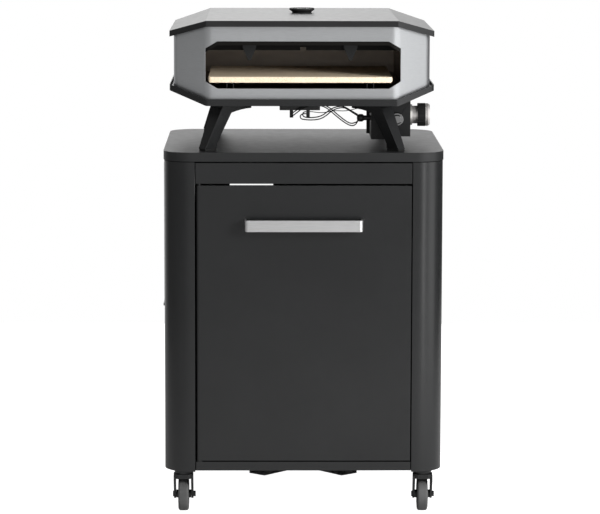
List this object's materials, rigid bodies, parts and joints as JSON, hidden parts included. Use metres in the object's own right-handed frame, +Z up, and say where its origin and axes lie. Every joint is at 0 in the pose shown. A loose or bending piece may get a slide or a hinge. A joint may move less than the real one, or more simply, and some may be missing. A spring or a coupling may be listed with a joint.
{
  "type": "grill cart with pizza oven",
  "caption": "Closed black steel cart on casters with a hinged door, hanging side shelf and bar handle, carrying a gas pizza oven with angled legs, baking stone and side knob",
  "frame": {"origin": "on the floor under the middle of the whole object's outer box, handle included", "axes": "+X to the right seen from the door, +Y from the door to the back panel, +Z up"},
  "size_m": [0.6218, 0.625, 1.1084],
  "materials": {
    "powder_black": "satin powder coat",
    "black_iron": "satin black",
    "black_plastic": "matt",
    "zinc_steel": "bright zinc",
    "brushed_steel": "brushed",
    "grey_shell": "satin grey",
    "chamber_steel": "heat-browned",
    "steel_pipe": "plain",
    "brass_fitting": "turned",
    "chrome": "polished",
    "grey_tread": "matt",
    "black_rubber": "matt",
    "baking_stone": "matt fired clay",
    "gauge_glass": "clear",
    "gauge_pointer": "matt"
  },
  "bodies": {
    "cart": {"worktop": "powder_black", "front_left_post": "powder_black", "front_right_post": "powder_black", "rear_left_post": "powder_black", "rear_right_post": "powder_black", "side_panels": "powder_black", "back_panel": "powder_black", "apron": "powder_black", "bottom_rail": "powder_black", "floor_plate": "powder_black", "floor_ribs": "powder_black", "door_pins": "black_iron", "door_catch": "black_plastic", "shelf_hinges": "black_iron", "shelf_buffers": "black_rubber", "caster_heads": "black_iron"},
    "door": {"door_panel": "powder_black", "door_liner": "powder_black", "door_bushes": "black_plastic", "door_handle": "brushed_steel", "door_strike": "zinc_steel"},
    "side_shelf": {"side_shelf": "powder_black"},
    "front_left_swivel": {"front_left_fork": "black_iron"},
    "front_left_wheel": {"front_left_wheel": "black_plastic", "front_left_tread": "grey_tread"},
    "front_right_swivel": {"front_right_fork": "black_iron"},
    "front_right_wheel": {"front_right_wheel": "black_plastic", "front_right_tread": "grey_tread"},
    "rear_left_swivel": {"rear_left_fork": "black_iron"},
    "rear_left_wheel": {"rear_left_wheel": "black_plastic", "rear_left_tread": "grey_tread"},
    "rear_right_swivel": {"rear_right_fork": "black_iron"},
    "rear_right_wheel": {"rear_right_wheel": "black_plastic", "rear_right_tread": "grey_tread"},
    "oven": {"oven_lid": "powder_black", "oven_shell": "grey_shell", "oven_tray": "powder_black", "oven_chamber": "chamber_steel", "chamber_stands": "zinc_steel", "mouth_hangers": "black_iron", "stone_rails": "black_iron", "burner": "steel_pipe", "gas_feed": "steel_pipe", "front_left_leg": "powder_black", "front_right_leg": "powder_black", "rear_left_leg": "powder_black", "rear_right_leg": "powder_black", "leg_pads": "black_rubber", "control_box": "powder_black", "gas_inlet": "brass_fitting", "igniter_ring": "chrome", "spark_unit": "black_plastic", "spark_leads": "black_rubber", "gauge_case": "black_plastic", "gauge_glass": "gauge_glass"},
    "baking_stone": {"baking_stone": "baking_stone"},
    "gas_knob": {"gas_knob": "chrome", "knob_band": "black_rubber"},
    "igniter_button": {"igniter_button": "chrome"},
    "gauge_pointer": {"gauge_pointer": "gauge_pointer"}
  },
  "joints": [
    {"name": "door_hinge", "type": "hinge", "parent": "cart", "child": "door", "pos_m": [-0.2305, -0.2693, 0.4287], "axis": [0, 0, -1], "range_deg": [0, 100]},
    {"name": "side_shelf_hinge", "type": "hinge", "parent": "cart", "child": "side_shelf", "pos_m": [-0.3008, 0.0175, 0.7785], "axis": [0, 1, 0], "range_deg": [0, 90]},
    {"name": "front_left_swivel", "type": "hinge", "parent": "cart", "child": "front_left_swivel", "pos_m": [-0.267, -0.2485, 0.085], "axis": [0, 0, 1], "continuous": true},
    {"name": "front_left_roll", "type": "hinge", "parent": "front_left_swivel", "child": "front_left_wheel", "pos_m": [-0.267, -0.2305, 0.0375], "axis": [1, 0, 0], "continuous": true},
    {"name": "front_right_swivel", "type": "hinge", "parent": "cart", "child": "front_right_swivel", "pos_m": [0.267, -0.2485, 0.085], "axis": [0, 0, 1], "continuous": true},
    {"name": "front_right_roll", "type": "hinge", "parent": "front_right_swivel", "child": "front_right_wheel", "pos_m": [0.267, -0.2305, 0.0375], "axis": [1, 0, 0], "continuous": true},
    {"name": "rear_left_swivel", "type": "hinge", "parent": "cart", "child": "rear_left_swivel", "pos_m": [-0.267, 0.2835, 0.085], "axis": [0, 0, 1], "continuous": true},
    {"name": "rear_left_roll", "type": "hinge", "parent": "rear_left_swivel", "child": "rear_left_wheel", "pos_m": [-0.267, 0.2655, 0.0375], "axis": [1, 0, 0], "continuous": true},
    {"name": "rear_right_swivel", "type": "hinge", "parent": "cart", "child": "rear_right_swivel", "pos_m": [0.267, 0.2835, 0.085], "axis": [0, 0, 1], "continuous": true},
    {"name": "rear_right_roll", "type": "hinge", "parent": "rear_right_swivel", "child": "rear_right_wheel", "pos_m": [0.267, 0.2655, 0.0375], "axis": [1, 0, 0], "continuous": true},
    {"name": "oven_lift", "type": "slide", "parent": "cart", "child": "oven", "axis": [0, 0, 1], "range_m": [0, 0.3]},
    {"name": "stone_slide", "type": "slide", "parent": "oven", "child": "baking_stone", "axis": [0, -1, 0], "range_m": [0, 0.4]},
    {"name": "gas_knob_turn", "type": "hinge", "parent": "oven", "child": "gas_knob", "pos_m": [0.238, -0.1335, 0.8813], "axis": [1, 0, 0], "range_deg": [0, 180]},
    {"name": "igniter_press", "type": "slide", "parent": "oven", "child": "igniter_button", "axis": [0, 1, 0], "range_m": [0, 0.005], "stiffness_N_per_m": 800, "springref_m": -0.003},
    {"name": "gauge_turn", "type": "hinge", "parent": "oven", "child": "gauge_pointer", "pos_m": [-0.001, 0.0855, 1.1084], "axis": [0, 0, -1], "range_deg": [0, 270]}
  ]
}
